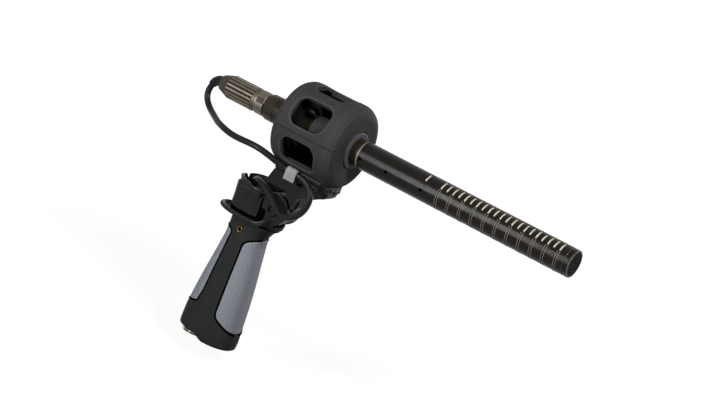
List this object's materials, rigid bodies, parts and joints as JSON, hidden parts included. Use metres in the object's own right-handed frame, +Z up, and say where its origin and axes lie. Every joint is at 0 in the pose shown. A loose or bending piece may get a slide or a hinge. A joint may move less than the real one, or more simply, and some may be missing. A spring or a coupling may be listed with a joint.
{
  "type": "pistol grip shock mount with shotgun microphone",
  "caption": "Hand grip with a tilting rubber suspension cage that holds a slotted shotgun microphone, its lead plugged in behind and run through the handle to the foot.",
  "frame": {"origin": "centre of the pole socket's mouth in the foot of the handle", "axes": "+X the way the microphone points, +Z up along the handle, -Y the side towards the camera"},
  "size_m": [0.3387, 0.068, 0.2242],
  "materials": {
    "tube_metal": "satin brown-black anodised",
    "bright_metal": "turned, pale champagne",
    "nickel": "warm satin nickel plate",
    "dark_nickel": "warm satin nickel plate, darker",
    "steel": "satin steel",
    "brass": "satin brass",
    "mesh": "fine cream mesh behind the slots",
    "grille": "black woven wire",
    "cage_rubber": "matt moulded elastomer",
    "collar_rubber": "matt moulded elastomer",
    "boot_rubber": "soft black boot",
    "lead_jacket": "satin black cable jacket",
    "frame_plastic": "fine spark-eroded grain",
    "handle_plastic": "fine spark-eroded grain",
    "pad_rubber": "soft blue-grey grip pads",
    "insulator": "black insulator",
    "clip_metal": "bent spring strip",
    "board": "green circuit board",
    "cell": "wrapped battery"
  },
  "bodies": {
    "handle": {"near_shell": "handle_plastic", "far_shell": "handle_plastic", "front_pad": "pad_rubber", "rear_pad": "pad_rubber", "foot_plate": "handle_plastic", "pole_socket": "brass", "output_shell": "nickel", "output_insert": "insulator", "output_pins": "brass", "cross_screw": "brass", "cross_nut": "brass", "hand_guard": "handle_plastic", "hinge_block": "frame_plastic", "cable_dish": "frame_plastic", "lead_gland": "boot_rubber", "inner_lead": "lead_jacket", "lead_loop": "lead_jacket", "tilt_bolt": "steel", "near_washer": "steel", "far_washer": "steel"},
    "arm": {"tilt_arm": "frame_plastic", "cage_rail": "frame_plastic", "front_saddle": "frame_plastic", "rear_saddle": "frame_plastic", "suspension_cage": "cage_rubber", "front_collar": "collar_rubber", "rear_collar": "collar_rubber", "lead_clip": "clip_metal", "lead_run": "lead_jacket"},
    "microphone": {"rear_tube": "tube_metal", "seam_ring": "bright_metal", "interference_tube": "tube_metal", "slot_mesh": "mesh", "front_cap": "tube_metal", "front_grille": "grille", "capsule": "brass", "circuit_board": "board", "battery": "cell", "battery_sleeve": "insulator", "mic_socket": "insulator", "mic_pins": "brass", "tube_screws": "steel", "plug_shell": "nickel", "plug_insert": "insulator", "plug_barrel": "nickel", "plug_chuck": "dark_nickel", "plug_boot": "boot_rubber"},
    "latch": {"plug_latch": "dark_nickel"},
    "knob": {"tilt_knob": "frame_plastic"}
  },
  "joints": [
    {"name": "tilt", "type": "hinge", "parent": "handle", "child": "arm", "pos_m": [0.008, 0, 0.121], "axis": [0, 1, 0], "range_deg": [-15, 45], "deforming": ["lead_loop"]},
    {"name": "mic_slide", "type": "slide", "parent": "arm", "child": "microphone", "axis": [1, 0, 0], "range_m": [-0.0055, 0.01], "deforming": ["lead_run"]},
    {"name": "latch_push", "type": "slide", "parent": "microphone", "child": "latch", "axis": [0, 0.9397, -0.342], "range_m": [0, 0.0006], "stiffness_N_per_m": 2000},
    {"name": "knob_turn", "type": "hinge", "parent": "handle", "child": "knob", "pos_m": [0.008, 0, 0.121], "axis": [0, 1, 0], "range_deg": [-90, 360]}
  ]
}
